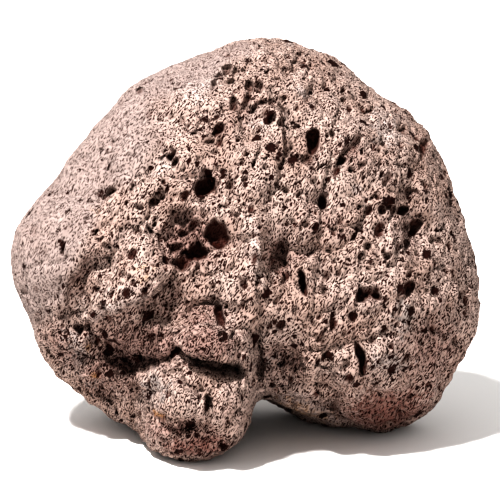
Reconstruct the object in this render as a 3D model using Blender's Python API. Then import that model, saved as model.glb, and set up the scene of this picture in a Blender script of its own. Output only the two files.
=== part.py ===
"""Pumice stone: a fist-sized lump of frothy volcanic rock that stands on its lower lobes.

The stone is described in a leaning frame, in millimetres: the first axis runs across its broad
front face, the second up it, and the third straight out of it. The front face leans back from
the vertical by LEAN, and the stone rests on flats worn on the undersides of its lobes.
"""

import bmesh
import bpy
import numpy as np

MM = 0.001

# Driving sizes, in millimetres and degrees.
FRONT_DEPTH = 29.0
BACK_DEPTH = 30.0
SHOULDER = 0.86
LEAN = 12.0
REST_LEVEL = -40.0
CENTRE_ACROSS = 0.0
CENTRE_BEHIND = -1.9

# Side of the block that cuts the flats, in metres.
GROUND_SIZE = 0.2

# Fineness of the faceted solid.
SPHERE_STEPS = 7
FACE_SHARE = 0.115

# The rim, where front and back halves meet: angle round the stone, radius, and place out of the
# middle plane. The knob at 243 to 270 degrees stands forward, the arch beside it lies back.
RIM = np.array([
    (0, 48.3, 0), (12, 46.6, 0), (24, 46.2, -1), (36, 45.3, -2), (48, 43.3, -3),
    (54, 43.4, -3), (66, 45.0, -4), (78, 45.3, -4), (90, 44.5, -4), (102, 42.6, -3),
    (114, 41.9, -2), (126, 42.0, -1), (138, 41.0, 0), (150, 41.7, 0), (162, 43.4, 0),
    (174, 48.2, 0), (180, 49.6, 0), (186, 50.2, 0), (198, 49.2, -2), (207, 50.2, -5),
    (216, 49.2, -8), (228, 47.2, -9), (234, 46.4, -7), (239, 45.7, -4), (243, 46.0, 8),
    (248, 46.8, 14),
    (254, 46.2, 16), (260, 44.9, 16), (266, 41.9, 14), (270, 39.0, 8), (274, 34.6, -4),
    (279, 34.9, -9), (285, 37.5, -10), (292, 41.4, -10), (297, 43.9, -9), (301, 45.3, -7),
    (306, 49.3, -6), (312, 51.9, -6), (318, 53.4, -5), (325, 52.7, -3), (336, 52.9, -2),
    (348, 51.2, 0),
], dtype=float)

# Rounded forms of the front face: across, up, half width, half height, turn, height out.
FRONT_LUMPS = [
    (-13.0, -30.0, 12.0, 9.0, 10, 5.0),
    (-17.5, -32.5, 5.0, 4.0, 15, 3.4),
    (-3.4, -34.0, 3.6, 5.0, 0, 3.8),
    (-11.5, -34.5, 4.0, 3.4, 0, 2.2),
    (-8.0, -18.8, 5.6, 3.8, 0, 4.4),
    (-21.5, -7.5, 9.5, 3.6, 35, 3.4),
    (2.2, -4.0, 2.2, 11.0, 4, 3.0),
    (-3.0, -9.0, 5.0, 3.4, 0, 1.8),
    (32.0, -15.0, 13.0, 13.0, 0, 3.4),
    (22.5, -27.0, 5.0, 3.6, 20, 2.2),
    (-41.0, 3.0, 8.0, 13.0, -20, 2.2),
    (-20.0, 24.0, 17.0, 13.0, 40, 2.0),
    (22.0, 20.0, 13.0, 12.0, 0, 2.0),
    (-31.0, -27.0, 9.0, 6.0, -40, -3.8),
    (7.6, -1.6, 3.0, 5.0, -8, -3.8),
    (12.6, -1.8, 3.6, 1.5, 0, -2.6),
    (7.6, -25.0, 3.8, 5.0, 30, -6.0),
    (-12.0, 1.4, 6.0, 6.0, -20, -4.6),
    (-27.6, -23.0, 2.4, 3.2, 10, -4.0),
    (-23.0, -24.0, 3.4, 1.4, 0, -3.0),
    (-32.4, -26.6, 2.4, 2.8, -20, 3.0),
    (-36.0, -22.8, 3.8, 1.4, 0, -2.0),
    (-35.4, -17.4, 1.4, 1.8, 0, -1.6),
    (-29.6, -31.6, 2.6, 1.8, -30, -2.4),
    (13.2, -25.2, 1.8, 2.2, 0, 2.4),
    (-24.5, -38.0, 3.0, 2.4, -30, 1.8),
    (-13.0, 6.6, 2.6, 1.2, -20, -2.0),
    (-24.0, 3.6, 1.4, 3.0, 0, -1.6),
    (-4.6, -12.4, 4.0, 0.9, 0, -1.8),
    (-16.0, -8.0, 2.2, 1.8, 0, -1.6),
    (1.6, 27.0, 4.0, 3.0, 30, -2.0),
    (-2.0, 34.0, 3.4, 2.4, 30, -1.8),
    (19.0, 24.0, 3.0, 2.2, -20, 1.8),
    (36.0, 2.6, 3.2, 3.0, 0, -2.0),
    (16.0, 8.6, 1.6, 2.4, 0, -1.8),
    (-16.4, 10.0, 2.2, 1.4, 20, -1.8),
    (-10.0, 34.0, 3.0, 2.0, 30, 1.2),
    (29.0, -22.0, 4.0, 2.6, 20, 1.2),
    (34.0, 15.0, 9.0, 10.0, 20, 2.0),
    (8.0, 30.0, 3.0, 5.0, -20, 1.2),
]

# Ledges: a line across the face, the lip raised on its left-hand side as it runs, how far the
# lip reaches, the drop on the other side, how far the drop reaches, and the width of the edge.
FRONT_LEDGES = [
    ([(-39.0, -17.0), (-37.0, -10.0), (-33.0, -4.0), (-28.0, -0.5)], 0.8, 8.0, 2.4, 4.0, 2.4),
    ([(17.0, -24.5), (19.4, -28.5), (26.0, -30.4), (33.0, -29.4), (40.0, -26.0)],
     0.8, 4.0, 2.8, 8.0, 1.8),
    ([(-36.6, -17.0), (-32.0, -15.2), (-27.0, -13.6), (-22.4, -11.6), (-17.1, -8.6), (-14.3, -4.2)],
     1.4, 4.0, 4.0, 7.0, 2.2),
    ([(-15.5, -18.8), (-12.0, -21.2), (-9.0, -22.8), (-4.6, -23.6), (0.4, -25.4)],
     1.6, 3.0, 4.2, 2.2, 1.2),
    ([(-12.0, -22.4), (-17.0, -23.2), (-21.0, -24.6), (-25.5, -28.0)], 1.8, 7.0, 3.0, 4.0, 1.6),
    ([(2.0, -31.4), (5.0, -30.4), (9.6, -30.2), (14.0, -31.4), (18.6, -34.2), (21.0, -39.0)],
     0.6, 3.0, 5.5, 3.4, 1.4),
    ([(3.6, -19.2), (9.0, -21.0), (12.8, -23.2), (10.6, -26.6)], 0.8, 3.0, 2.4, 4.0, 1.3),
    ([(8.4, 3.5), (9.8, -0.6), (9.2, -4.6)], 0.4, 3.0, 1.8, 3.0, 1.3),
    ([(-11.8, -6.2), (-15.4, -4.0), (-16.8, 1.0), (-15.6, 6.8), (-9.0, 8.6)], 0.4, 4.0, 1.2, 4.0, 1.6),
    ([(-15.0, -13.6), (-9.6, -11.4), (-3.0, -11.8)], -0.4, 3.0, 1.2, 3.0, 1.2),
]

# How far the lines and ovals above and below wander from their drawn shapes, and how often.
WANDER = [(7.0, 0.9), (2.6, 0.5)]

# Clefts: a line across the face, half width and depth. One below nothing is a ridge.
FRONT_CLEFTS = [
    ([(-29.0, -1.5), (-33.0, -5.6), (-35.5, -10.0), (-36.4, -15.0), (-37.0, -21.0)], 2.6, 0.9),
    ([(3.0, -15.0), (2.4, -20.0), (3.0, -23.0), (3.1, -28.0)], 1.2, 2.8),
    ([(-1.4, -16.0), (0.2, -22.0), (1.0, -28.0), (1.6, -33.0)], 1.3, -2.0),
    ([(-12.4, -21.8), (-9.0, -23.9), (-5.0, -24.8), (-2.4, -25.5), (-0.4, -27.0)], 1.0, 4.0),
    ([(-23.2, -28.0), (-23.2, -33.0), (-22.4, -37.5)], 1.2, 2.4),
    ([(-20.5, -36.0), (-17.0, -37.6), (-11.8, -38.0), (-7.6, -36.6)], 1.2, 1.8),
    ([(-8.4, -26.5), (-7.4, -30.0), (-7.6, -33.0), (-9.0, -39.4)], 1.2, 4.4),
    ([(-21.5, -22.0), (-18.5, -22.4), (-14.6, -22.6)], 0.9, 2.4),
    ([(-36.0, -29.6), (-32.0, -30.8), (-28.0, -33.5)], 0.9, 2.0),
    ([(12.4, 42.5), (10.5, 37.4), (6.7, 32.0), (8.4, 25.8), (10.5, 18.0)], 0.9, 1.4),
]

# Pits: across, up, half width, half height, turn, depth.
FRONT_PITS = [
    (-8.3, 13.0, 1.9, 2.6, -10, 4.5),
    (-5.1, 2.4, 2.3, 2.3, 0, 3.6),
    (-9.6, -1.4, 2.8, 1.9, 8, 3.8),
    (-12.6, -3.6, 1.6, 1.9, -20, 2.6),
    (-13.2, 0.2, 1.9, 1.4, 30, 1.8),
    (13.8, 21.4, 1.6, 3.1, -8, 4.0),
    (-5.6, 24.1, 1.6, 1.2, 35, 2.4),
    (21.0, 19.8, 1.3, 3.2, -35, 2.6),
    (12.8, -7.7, 1.2, 3.2, 20, 4.0),
    (24.8, -9.8, 2.9, 1.7, 8, 3.2),
    (34.4, -8.3, 1.3, 1.6, 0, 2.4),
    (23.9, -23.2, 1.3, 3.2, 15, 3.4),
    (-14.8, 19.2, 1.6, 1.4, -40, 2.2),
    (37.2, 20.3, 1.2, 2.0, 0, 2.2),
    (-27.8, 11.5, 1.2, 1.2, 0, 1.8),
    (-21.6, 32.3, 1.2, 1.2, 0, 1.6),
    (-5.0, 35.6, 1.3, 1.6, -40, 1.8),
    (-4.3, -14.5, 1.1, 1.9, 0, 2.4),
    (34.4, 7.5, 1.4, 1.2, 0, 2.0),
    (16.5, 9.2, 1.1, 1.9, 0, 2.0),
    (36.5, 4.1, 1.1, 1.5, -30, 1.8),
    (2.1, 31.0, 1.8, 1.6, 0, 1.4),
]

# The same four kinds of form on the back face.
BACK_LUMPS = [
    (-22.0, 12.0, 14.0, 12.0, 20, 3.0),
    (18.0, 20.0, 12.0, 14.0, -10, 2.6),
    (26.0, -12.0, 12.0, 12.0, 0, 3.0),
    (-24.0, -16.0, 12.0, 10.0, 0, 2.6),
    (0.0, -4.0, 6.0, 14.0, 15, -3.6),
    (-4.0, 27.0, 8.0, 6.0, 0, -2.4),
    (33.0, 8.0, 4.0, 7.0, -30, -2.6),
]
BACK_LEDGES = [
    ([(-40.0, 2.0), (-27.0, -7.0), (-16.0, -6.0), (-4.0, -16.0), (3.0, -27.0)],
     1.4, 6.0, 1.8, 8.0, 4.0),
    ([(38.0, 12.0), (27.0, 2.0), (19.0, 4.0)], 1.0, 5.0, 1.4, 5.0, 3.0),
]
BACK_CLEFTS = [
    ([(6.0, 38.0), (2.0, 28.0), (5.0, 17.0), (2.0, 6.0)], 1.6, 2.2),
    ([(-12.0, -12.0), (-9.0, -22.0), (-13.0, -33.0)], 1.8, 2.4),
]
BACK_PITS = [
    (-14.0, 20.0, 2.2, 1.7, 30, 3.4),
    (9.0, -6.0, 1.6, 2.8, -20, 3.4),
    (24.0, 26.0, 1.6, 1.6, 0, 2.4),
    (-28.0, -8.0, 2.0, 1.5, 15, 2.6),
    (20.0, -24.0, 1.7, 2.2, 0, 2.8),
    (-6.0, 6.0, 1.5, 1.9, 40, 2.6),
]

# Lumps and hollows all round: across, up, out, half size, and how far they stand out.
BODY_LUMPS = [
    (17.0, -33.0, -20.0, 8.0, 2.6),
    (-12.0, -32.0, -20.0, 8.0, 5.2),
    (2.0, -36.0, -6.0, 7.0, -3.0),
    (-14.0, -38.0, -2.0, 6.0, -3.0),
    (44.0, 10.0, -6.0, 6.0, -1.6),
    (-30.0, 34.0, -8.0, 7.0, -1.8),
    (10.0, 42.0, -14.0, 7.0, -1.8),
    (-46.0, -14.0, -12.0, 7.0, -2.0),
    (40.0, -26.0, -16.0, 7.0, -2.0),
]

# Pits scattered over the sides and the back: how many, and their smallest and largest radius.
SCATTERED_PITS = 60
SCATTERED_RADII = (1.1, 2.3)

# Uneven ground of the whole surface: grain size, and how far it moves the surface.
UNEVEN = [(24.0, 1.6), (11.0, 1.0), (5.0, 0.7)]

# Share of that unevenness which the rim, whose own points give its shape, goes without.
RIM_KEPT = 0.8


def clear_scene():
    """Takes every object out of the open scene."""
    for old in list(bpy.data.objects):
        bpy.data.objects.remove(old, do_unlink=True)


def smooth_step(value):
    """0 below 0, 1 above 1, and an S-curve between."""
    part = np.clip(value, 0, 1)
    return part * part * (3 - 2 * part)


def around_rim(angle, column):
    """A column of RIM at each angle: cubic pieces whose slope is the chord of the neighbours."""
    at = np.concatenate([RIM[-2:, 0] - 360, RIM[:, 0], RIM[:3, 0] + 360])
    value = np.concatenate([RIM[-2:, column], RIM[:, column], RIM[:3, column]])
    slope = np.zeros(len(at))
    slope[1:-1] = (value[2:] - value[:-2]) / (at[2:] - at[:-2])
    low = np.searchsorted(at, angle, side="right") - 1
    gap = at[low + 1] - at[low]
    t = (angle - at[low]) / gap
    rise = value[low + 1] - value[low]
    start = slope[low] * gap - rise
    end = rise - slope[low + 1] * gap
    return value[low] + t * rise + t * (1 - t) * ((1 - t) * start + t * end)


def body_form(way):
    """Smooth lump without relief, from unit directions.

    A point's reach from the middle is the rim's radius times the sine of its angle to the front
    axis, raised to SHOULDER, and its place out is the depth times the cosine of that angle.
    """
    angle = np.degrees(np.arctan2(way[:, 1], way[:, 0])) % 360
    spread = np.hypot(way[:, 0], way[:, 1])
    plain = RIM[:, 1].mean()
    radius = plain + (around_rim(angle, 1) - plain) * spread
    reach = radius * spread ** SHOULDER
    depth = np.where(way[:, 2] > 0, FRONT_DEPTH, BACK_DEPTH)
    out = depth * way[:, 2] + around_rim(angle, 2) * spread ** 4
    turn = np.radians(angle)
    return np.column_stack([reach * np.cos(turn), reach * np.sin(turn), out])


def oval_distance(place, across, up, half_width, half_height, turn):
    """Distance from an oval's middle, 1 on its edge."""
    cos, sin = np.cos(np.radians(turn)), np.sin(np.radians(turn))
    right = place[:, 0] - across
    rise = place[:, 1] - up
    return np.hypot((right * cos + rise * sin) / half_width,
                    (rise * cos - right * sin) / half_height)


def line_distance(place, line):
    """Distance to a line of points, above 0 on its left-hand side, and how far along it."""
    best = np.full(len(place), 1e9)
    side = np.ones(len(place))
    along = np.zeros(len(place))
    for number, (start, end) in enumerate(zip(line[:-1], line[1:])):
        start, run = np.array(start), np.subtract(end, start)
        offset = place[:, :2] - start
        part = np.clip(offset @ run / (run @ run), 0, 1)
        away = offset - part[:, None] * run
        distance = np.hypot(away[:, 0], away[:, 1])
        nearer = distance < best
        cross = run[0] * offset[:, 1] - run[1] * offset[:, 0]
        side = np.where(nearer, np.sign(cross), side)
        along = np.where(nearer, (number + part) / (len(line) - 1), along)
        best = np.minimum(best, distance)
    return best * side, along


def ends_fade(along):
    """0 at both ends of a line and 1 along its middle."""
    return smooth_step(along * 5) * smooth_step((1 - along) * 5)


def face_relief(place, lumps, ledges, clefts, pits):
    """Height of one face's lumps, ledges, clefts and pits over the smooth lump."""
    height = np.zeros(len(place))
    for across, up, half_width, half_height, turn, rise in lumps:
        away = oval_distance(place, across, up, half_width, half_height, turn)
        height += rise * np.exp(-0.7 * away ** 2)
    for line, lip, lip_run, drop, drop_run, edge in ledges:
        away, along = line_distance(place, line)
        upper = lip * np.exp(-np.abs(away) / lip_run)
        lower = -drop * np.exp(-(away / drop_run) ** 2)
        above = smooth_step(0.5 + away / edge)
        height += (lower + (upper - lower) * above) * ends_fade(along)
    for line, half_width, depth in clefts:
        away, along = line_distance(place, line)
        height -= depth * np.exp(-(away / half_width) ** 2) * ends_fade(along)
    for across, up, half_width, half_height, turn, depth in pits:
        away = oval_distance(place, across, up, half_width, half_height, turn)
        height -= depth * np.sqrt(np.clip(1 - away ** 2, 0, 1))
    return height


def uneven(place, size, seed):
    """Smooth noise from -1 to 1: values at the corners of cubes of this size, blended between."""
    table = np.random.default_rng(seed).uniform(-1, 1, (16, 16, 16))
    scaled = place / size + 100
    corner = np.floor(scaled).astype(int)
    part = smooth_step(scaled - corner)
    total = np.zeros(len(place))
    for step in np.ndindex(2, 2, 2):
        at = (corner + step) % 16
        share = np.prod(np.where(step, part, 1 - part), axis=1)
        total += share * table[at[:, 0], at[:, 1], at[:, 2]]
    return total


def scattered_pits(body):
    """How far the scattered pits sink each point: round hollows, none on the front face."""
    chance = np.random.default_rng(3)
    middles = chance.normal(size=(SCATTERED_PITS, 3))
    middles /= np.linalg.norm(middles, axis=1)[:, None]
    middles[:, 2] = np.where(middles[:, 2] > 0.35, -middles[:, 2], middles[:, 2])
    smallest, largest = SCATTERED_RADII
    radii = smallest + (largest - smallest) * chance.random(SCATTERED_PITS) ** 2
    sink = np.zeros(len(body))
    for middle, radius in zip(body_form(middles), radii):
        away = np.linalg.norm(body - middle, axis=1) / radius
        sink += 1.2 * radius * np.sqrt(np.clip(1 - away ** 2, 0, 1))
    return sink


def stone_surface(way):
    """Points of the stone's skin, in the leaning frame, from unit directions."""
    place = body_form(way)
    body = place.copy()
    outward = -scattered_pits(body)
    for across, up, out, half_size, rise in BODY_LUMPS:
        away = np.linalg.norm(body - (across, up, out), axis=1) / half_size
        outward += rise * np.exp(-0.7 * away ** 2)
    inside = 1 - RIM_KEPT * np.hypot(way[:, 0], way[:, 1]) ** 6
    for seed, (size, height) in enumerate(UNEVEN):
        outward += height * inside * uneven(body, size, seed)
    place += outward[:, None] * way
    wandering = body.copy()
    for seed, (size, shift) in enumerate(WANDER):
        wandering[:, 0] += shift * uneven(body, size, 10 + seed)
        wandering[:, 1] += shift * uneven(body, size, 20 + seed)
    front = smooth_step((way[:, 2] + 0.05) / 0.45)
    back = smooth_step((-way[:, 2] - 0.05) / 0.45)
    place[:, 2] += front * face_relief(wandering, FRONT_LUMPS, FRONT_LEDGES,
                                       FRONT_CLEFTS, FRONT_PITS)
    place[:, 2] -= back * face_relief(wandering, BACK_LUMPS, BACK_LEDGES,
                                      BACK_CLEFTS, BACK_PITS)
    return place


def stand_up(place):
    """Leaning frame to the stone's own frame, in metres: across, back and up."""
    lean = np.radians(LEAN)
    across, up, out = place.T
    behind = up * np.sin(lean) - out * np.cos(lean)
    level = up * np.cos(lean) + out * np.sin(lean)
    return MM * np.column_stack([across - CENTRE_ACROSS, behind - CENTRE_BEHIND,
                                 level - REST_LEVEL])


def stone_material():
    """Dry weathered pumice: red-brown, dull and without gloss."""
    material = bpy.data.materials.new("weathered pumice")
    material.use_nodes = True
    shader = material.node_tree.nodes["Principled BSDF"]
    shader.inputs["Base Color"].default_value = (0.29, 0.18, 0.15, 1)
    shader.inputs["Roughness"].default_value = 0.9
    shader.inputs["Metallic"].default_value = 0.0
    return material


def make_stone(collection):
    """A fine ball pushed into the stone's shape, thinned to few faces."""
    form = bmesh.new()
    bmesh.ops.create_icosphere(form, subdivisions=SPHERE_STEPS, radius=1)
    mesh = bpy.data.meshes.new("pumice_stone")
    form.to_mesh(mesh)
    form.free()
    way = np.empty(len(mesh.vertices) * 3)
    mesh.vertices.foreach_get("co", way)
    way = way.reshape(-1, 3)
    way /= np.linalg.norm(way, axis=1)[:, None]
    mesh.vertices.foreach_set("co", stand_up(stone_surface(way)).ravel())
    mesh.update()
    stone = bpy.data.objects.new("pumice_stone", mesh)
    collection.objects.link(stone)
    mesh.materials.append(stone_material())
    thin = stone.modifiers.new("thin", "DECIMATE")
    thin.ratio = FACE_SHARE
    return stone


def cut_rest(stone, cutters):
    """Cuts the lobes flat where the stone stands."""
    bpy.ops.mesh.primitive_cube_add(size=GROUND_SIZE, location=(0, 0, -GROUND_SIZE / 2))
    ground = bpy.context.object
    ground.name = "ground"
    ground.display_type = "WIRE"
    ground.hide_render = True
    for home in list(ground.users_collection):
        home.objects.unlink(ground)
    cutters.objects.link(ground)
    flat = stone.modifiers.new("rest", "BOOLEAN")
    flat.operation = "DIFFERENCE"
    flat.object = ground


def main():
    """Makes the stone and the hidden block that cuts its flats."""
    clear_scene()
    scene = bpy.context.scene
    parts = bpy.data.collections.new("pumice stone")
    cutters = bpy.data.collections.new("cutters")
    scene.collection.children.link(parts)
    scene.collection.children.link(cutters)
    stone = make_stone(parts)
    cut_rest(stone, cutters)


main()
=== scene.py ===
"""A hand-sized pumice stone standing on its lower lobes, on a pale studio floor."""

import bpy
import numpy as np
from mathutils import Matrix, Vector


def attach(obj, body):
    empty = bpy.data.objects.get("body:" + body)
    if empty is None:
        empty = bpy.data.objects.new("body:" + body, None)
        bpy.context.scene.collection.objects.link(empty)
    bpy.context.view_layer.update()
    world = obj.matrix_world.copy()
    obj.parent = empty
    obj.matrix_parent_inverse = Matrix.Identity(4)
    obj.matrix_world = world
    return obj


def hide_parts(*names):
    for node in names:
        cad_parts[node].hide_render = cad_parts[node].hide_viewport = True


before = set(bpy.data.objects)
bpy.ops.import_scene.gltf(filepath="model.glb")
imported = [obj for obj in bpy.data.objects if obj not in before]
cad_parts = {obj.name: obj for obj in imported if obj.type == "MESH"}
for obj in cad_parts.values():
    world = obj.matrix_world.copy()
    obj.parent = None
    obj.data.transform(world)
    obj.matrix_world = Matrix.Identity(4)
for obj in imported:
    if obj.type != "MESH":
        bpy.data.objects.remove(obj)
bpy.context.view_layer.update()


# ---------------------------------------------------------------- the stone's body
# The stone is one lump of frothy volcanic rock, rounded by wear. It is described leaning back
# by LEAN, in millimetres: across its broad front face, up the face, and out of the face. It
# stands on flats worn under its lobes.

MM = 0.001
# Depths of the face and the back, how full the shoulders are (1 for a ball, less for fuller),
# the lean in degrees, the level of the floor, and the middle of the stone's box.
FRONT_DEPTH = 29.0
BACK_DEPTH = 30.0
SHOULDER = 0.86
LEAN = 12.0
REST_LEVEL = -40.0
CENTRE_ACROSS = 0.0
CENTRE_BEHIND = -1.9

# The rim, where front and back halves meet: angle round the stone, radius, and place out of the
# middle plane. The knob at 243 to 270 degrees stands forward, the arch beside it lies back.
RIM = np.array([
    (0, 48.3, 0), (12, 46.6, 0), (24, 46.2, -1), (36, 45.3, -2), (48, 43.3, -3),
    (54, 43.4, -3), (66, 45.0, -4), (78, 45.3, -4), (90, 44.5, -4), (102, 42.6, -3),
    (114, 41.9, -2), (126, 42.0, -1), (138, 41.0, 0), (150, 41.7, 0), (162, 43.4, 0),
    (174, 48.2, 0), (180, 49.6, 0), (186, 50.2, 0), (198, 49.2, -2), (207, 50.2, -5),
    (216, 49.2, -8), (228, 47.2, -9), (234, 46.4, -7), (239, 45.7, -4), (243, 46.0, 8),
    (248, 46.8, 14), (254, 46.2, 16), (260, 44.9, 16), (266, 41.9, 14), (270, 39.0, 8),
    (274, 34.6, -4), (279, 34.9, -9), (285, 37.5, -10), (292, 41.4, -10), (297, 43.9, -9),
    (301, 45.3, -7), (306, 49.3, -6), (312, 51.9, -6), (318, 53.4, -5), (325, 52.7, -3),
    (336, 52.9, -2), (348, 51.2, 0),
], dtype=float)

# Rounded forms of a face: across, up, half width, half height, turn, height out.
FRONT_LUMPS = [
    (-13.0, -30.0, 12.0, 9.0, 10, 5.0), (-17.5, -32.5, 5.0, 4.0, 15, 3.4),
    (-3.4, -34.0, 3.6, 5.0, 0, 3.8), (-11.5, -34.5, 4.0, 3.4, 0, 2.2),
    (-8.0, -18.8, 5.6, 3.8, 0, 4.4), (-21.5, -7.5, 9.5, 3.6, 35, 3.4),
    (2.2, -4.0, 2.2, 11.0, 4, 3.0), (-3.0, -9.0, 5.0, 3.4, 0, 1.8),
    (32.0, -15.0, 13.0, 13.0, 0, 3.4), (22.5, -27.0, 5.0, 3.6, 20, 2.2),
    (-41.0, 3.0, 8.0, 13.0, -20, 2.2), (-20.0, 24.0, 17.0, 13.0, 40, 2.0),
    (22.0, 20.0, 13.0, 12.0, 0, 2.0), (-31.0, -27.0, 9.0, 6.0, -40, -3.8),
    (7.6, -1.6, 3.0, 5.0, -8, -3.8), (12.6, -1.8, 3.6, 1.5, 0, -2.6),
    (7.6, -25.0, 3.8, 5.0, 30, -6.0), (-12.0, 1.4, 6.0, 6.0, -20, -4.6),
    (-26.6, -22.9, 3.4, 3.0, 10, -6.0), (-22.6, -23.4, 3.4, 1.7, 0, -4.6),
    (-32.4, -26.6, 2.4, 2.8, -20, 3.0), (-36.0, -22.8, 3.8, 1.4, 0, -2.0),
    (-35.4, -17.4, 1.4, 1.8, 0, -1.6), (-29.6, -31.6, 2.6, 1.8, -30, -2.4),
    (13.2, -25.2, 1.8, 2.2, 0, 2.4), (-24.5, -38.0, 3.0, 2.4, -30, 1.8),
    (-13.0, 6.6, 2.6, 1.2, -20, -2.0), (-24.0, 3.6, 1.4, 3.0, 0, -1.6),
    (-4.6, -12.4, 4.0, 0.9, 0, -1.8), (-16.0, -8.0, 2.2, 1.8, 0, -1.6),
    (1.6, 27.0, 4.0, 3.0, 30, -2.0), (-2.0, 34.0, 3.4, 2.4, 30, -1.8),
    (19.0, 24.0, 3.0, 2.2, -20, 1.8), (36.0, 2.6, 3.2, 3.0, 0, -2.0),
    (16.0, 8.6, 1.6, 2.4, 0, -1.8), (-16.4, 10.0, 2.2, 1.4, 20, -1.8),
    (-10.0, 34.0, 3.0, 2.0, 30, 1.2), (29.0, -22.0, 4.0, 2.6, 20, 1.2),
    (34.0, 15.0, 9.0, 10.0, 20, 2.0), (8.0, 30.0, 3.0, 5.0, -20, 1.2),
]
BACK_LUMPS = [
    (-22.0, 12.0, 14.0, 12.0, 20, 3.0), (18.0, 20.0, 12.0, 14.0, -10, 2.6),
    (26.0, -12.0, 12.0, 12.0, 0, 3.0), (-24.0, -16.0, 12.0, 10.0, 0, 2.6),
    (0.0, -4.0, 6.0, 14.0, 15, -3.6), (-4.0, 27.0, 8.0, 6.0, 0, -2.4),
    (33.0, 8.0, 4.0, 7.0, -30, -2.6),
]

# Ledges: a line, the lip on its left-hand side as it runs, how far the lip reaches, the drop on
# the other side, how far the drop reaches, and the width of the edge.
FRONT_LEDGES = [
    ([(-39.0, -17.0), (-37.0, -10.0), (-33.0, -4.0), (-28.0, -0.5)], 0.8, 8.0, 2.4, 4.0, 2.4),
    ([(17.0, -24.5), (19.4, -28.5), (26.0, -30.4), (33.0, -29.4), (40.0, -26.0)],
     0.8, 4.0, 2.8, 8.0, 1.8),
    ([(-36.6, -17.0), (-32.0, -15.2), (-27.0, -13.6), (-22.4, -11.6), (-17.1, -8.6), (-14.3, -4.2)],
     2.2, 4.0, 4.4, 7.0, 1.8),
    ([(-15.5, -18.8), (-12.0, -21.0), (-9.0, -22.2), (-4.6, -22.9), (0.4, -24.8)],
     1.6, 3.0, 4.2, 2.2, 1.2),
    ([(-12.0, -22.4), (-17.0, -23.2), (-21.0, -24.6), (-25.5, -28.0)], 1.8, 7.0, 3.0, 4.0, 1.6),
    ([(2.0, -31.4), (5.0, -30.4), (9.6, -30.2), (14.0, -31.4), (18.6, -34.2), (21.0, -39.0)],
     1.2, 2.0, 4.2, 3.4, 1.4),
    ([(3.6, -19.2), (9.0, -21.0), (12.8, -23.2), (10.6, -26.6)], 0.8, 3.0, 2.4, 4.0, 1.3),
    ([(8.4, 3.5), (9.8, -0.6), (9.2, -4.6)], 0.4, 3.0, 1.8, 3.0, 1.3),
    ([(-11.8, -6.2), (-15.4, -4.0), (-16.8, 1.0), (-15.6, 6.8), (-9.0, 8.6)],
     0.4, 4.0, 1.2, 4.0, 1.6),
    ([(-15.0, -13.6), (-9.6, -11.4), (-3.0, -11.8)], -0.4, 3.0, 1.2, 3.0, 1.2),
]
BACK_LEDGES = [
    ([(-40.0, 2.0), (-27.0, -7.0), (-16.0, -6.0), (-4.0, -16.0), (3.0, -27.0)],
     1.4, 6.0, 1.8, 8.0, 4.0),
    ([(38.0, 12.0), (27.0, 2.0), (19.0, 4.0)], 1.0, 5.0, 1.4, 5.0, 3.0),
]

# Clefts: a line, half width and depth. One below nothing is a ridge.
FRONT_CLEFTS = [
    ([(-29.0, -1.5), (-33.0, -5.6), (-35.5, -10.0), (-36.4, -15.0), (-37.0, -21.0)], 2.6, 0.9),
    ([(3.0, -15.0), (2.4, -20.0), (3.0, -23.0), (3.1, -28.0)], 1.2, 2.8),
    ([(-1.4, -16.0), (0.2, -22.0), (1.0, -28.0), (1.6, -33.0)], 1.3, -2.0),
    ([(-12.4, -21.6), (-9.0, -23.4), (-5.0, -24.4), (-2.4, -25.0), (-0.8, -26.6)], 1.2, 5.0),
    ([(-23.2, -28.0), (-23.2, -33.0), (-22.4, -37.5)], 1.2, 2.4),
    ([(-20.5, -36.0), (-17.0, -37.6), (-11.8, -38.0), (-7.6, -36.6)], 1.2, 2.6),
    ([(-3.2, -16.5), (-2.4, -20.5), (-1.2, -25.0), (-0.6, -28.0)], 0.6, 1.3),
    ([(2.6, -20.4), (2.9, -23.0), (3.0, -27.6)], 0.6, 3.2),
    ([(-7.4, -30.6), (-7.2, -32.6), (-7.6, -35.6), (-9.0, -39.4)], 0.7, 2.0),
    ([(-14.8, -25.0), (-12.8, -27.2), (-10.0, -29.6), (-8.0, -30.4)], 0.7, 1.2),
    ([(-43.6, -22.2), (-41.0, -24.2), (-37.4, -26.2)], 0.7, 2.0),
    ([(-22.5, -22.4), (-18.5, -22.8), (-13.6, -22.8)], 1.0, 4.0),
    ([(-36.0, -29.6), (-32.0, -30.8), (-28.0, -33.5)], 0.9, 2.0),
    ([(12.4, 42.5), (11.3, 39.5), (10.5, 37.4), (9.6, 36.0)], 0.8, 3.0),
    ([(6.6, 33.5), (6.7, 30.0), (7.3, 28.2), (8.4, 25.8), (8.2, 23.7), (9.4, 19.5), (10.5, 18.0)],
     0.5, 2.6),
]
BACK_CLEFTS = [
    ([(6.0, 38.0), (2.0, 28.0), (5.0, 17.0), (2.0, 6.0)], 1.6, 2.2),
    ([(-12.0, -12.0), (-9.0, -22.0), (-13.0, -33.0)], 1.8, 2.4),
]

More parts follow.
